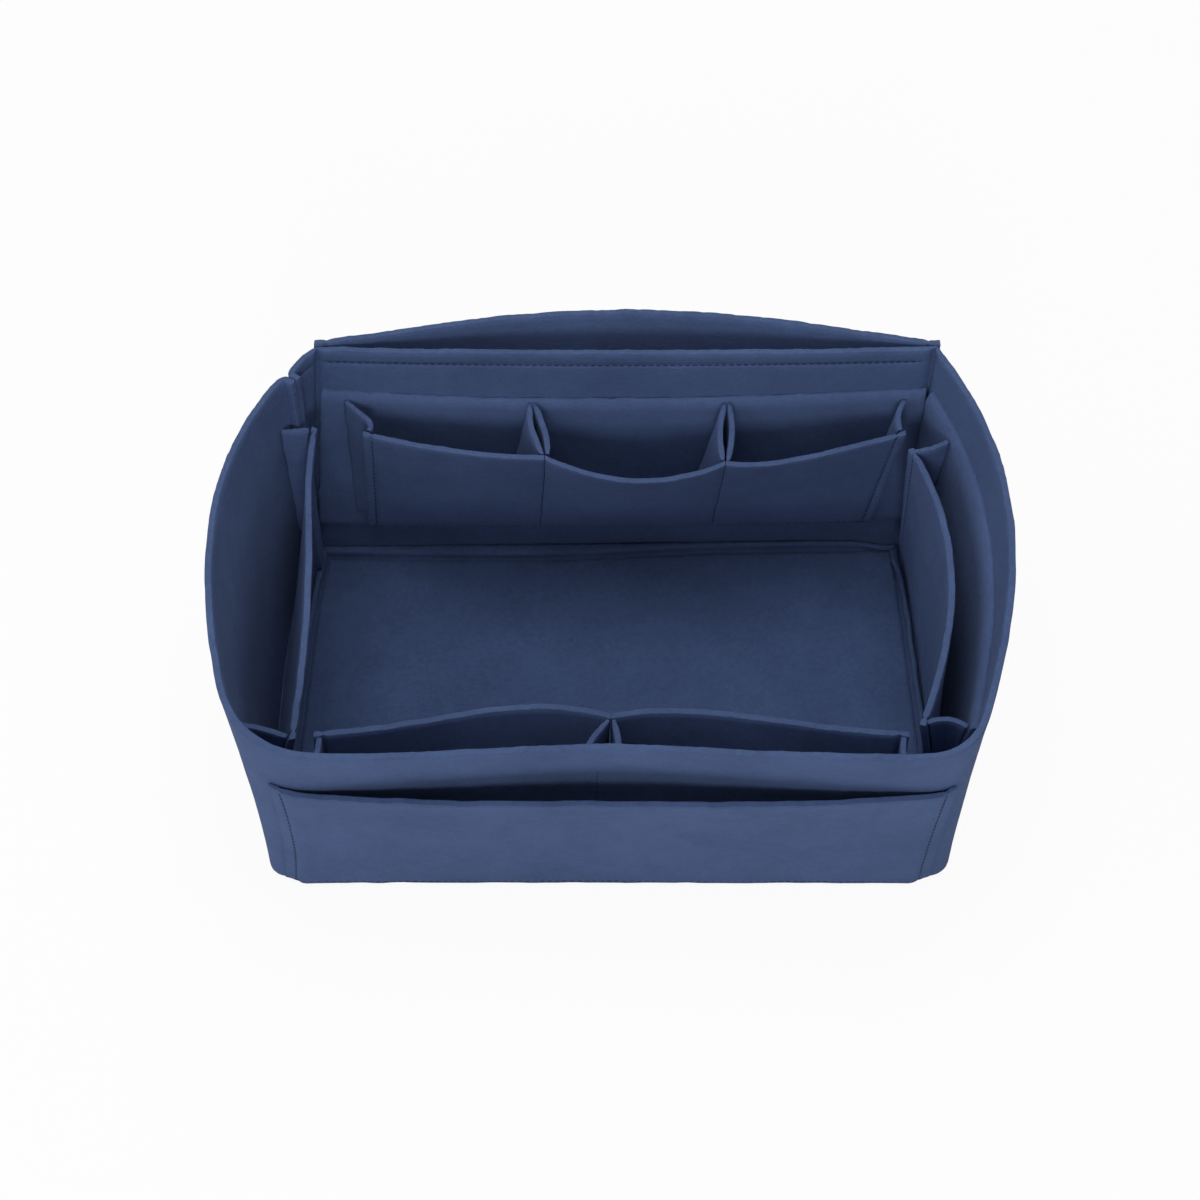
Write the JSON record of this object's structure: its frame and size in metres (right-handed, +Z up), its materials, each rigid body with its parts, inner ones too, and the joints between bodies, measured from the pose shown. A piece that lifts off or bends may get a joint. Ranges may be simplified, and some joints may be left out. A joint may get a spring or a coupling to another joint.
{
  "type": "purse organizer insert",
  "caption": "Open felt tub insert for a handbag, with pleated pockets sewn round the inside walls and a slip pocket outside on each long wall.",
  "frame": {"origin": "middle of the underside of the base, on the surface it stands on", "axes": "+X along the length to the right, +Y towards the back wall, +Z up"},
  "size_m": [0.3256, 0.2328, 0.12],
  "materials": {
    "felt": "matte pressed felt, slightly fuzzy, with thread of the same colour"
  },
  "bodies": {
    "tub": {"base_panel": "felt", "outer_wrap": "felt", "front_slip_panel": "felt", "back_slip_panel": "felt", "back_pocket_backing": "felt", "front_pocket_backing": "felt", "right_pocket_backing": "felt"},
    "back_pockets": {"back_pocket_panel_right": "felt", "back_pocket_panel_middle": "felt", "back_pocket_panel_left": "felt", "back_gusset_right": "felt", "back_right_pleat_outer_leaf": "felt", "back_right_pleat_inner_leaf": "felt", "back_left_pleat_inner_leaf": "felt", "back_left_pleat_outer_leaf": "felt", "back_gusset_left": "felt"},
    "front_pockets": {"front_pocket_panel_left": "felt", "front_pocket_panel_right": "felt", "front_gusset_left": "felt", "front_pleat_left_leaf": "felt", "front_pleat_right_leaf": "felt", "front_gusset_right": "felt"},
    "left_pocket": {"left_pocket_panel": "felt", "left_gusset_back": "felt", "left_gusset_front": "felt"},
    "right_pocket": {"right_pocket_panel": "felt", "right_gusset_front": "felt", "right_gusset_back": "felt"}
  },
  "joints": [
    {"name": "back_pockets_fold", "type": "hinge", "parent": "tub", "child": "back_pockets", "pos_m": [0, 0.083, 0.022], "axis": [1, 0, 0], "range_deg": [-10, 3], "stiffness_Nm_per_rad": 0.08, "deforming": ["back_gusset_right", "back_right_pleat_outer_leaf", "back_right_pleat_inner_leaf", "back_left_pleat_inner_leaf", "back_left_pleat_outer_leaf", "back_gusset_left"]},
    {"name": "front_pockets_fold", "type": "hinge", "parent": "tub", "child": "front_pockets", "pos_m": [0, -0.083, 0.022], "axis": [1, 0, 0], "range_deg": [-3, 8], "stiffness_Nm_per_rad": 0.08, "deforming": ["front_gusset_left", "front_pleat_left_leaf", "front_pleat_right_leaf", "front_gusset_right"]},
    {"name": "left_pocket_fold", "type": "hinge", "parent": "tub", "child": "left_pocket", "pos_m": [-0.136, 0, 0.022], "axis": [0, 1, 0], "range_deg": [-5, 3], "stiffness_Nm_per_rad": 0.06, "deforming": ["left_gusset_back", "left_gusset_front"]},
    {"name": "right_pocket_fold", "type": "hinge", "parent": "tub", "child": "right_pocket", "pos_m": [0.134, 0, 0.022], "axis": [0, 1, 0], "range_deg": [-3, 5], "stiffness_Nm_per_rad": 0.06, "deforming": ["right_gusset_front", "right_gusset_back"]}
  ]
}
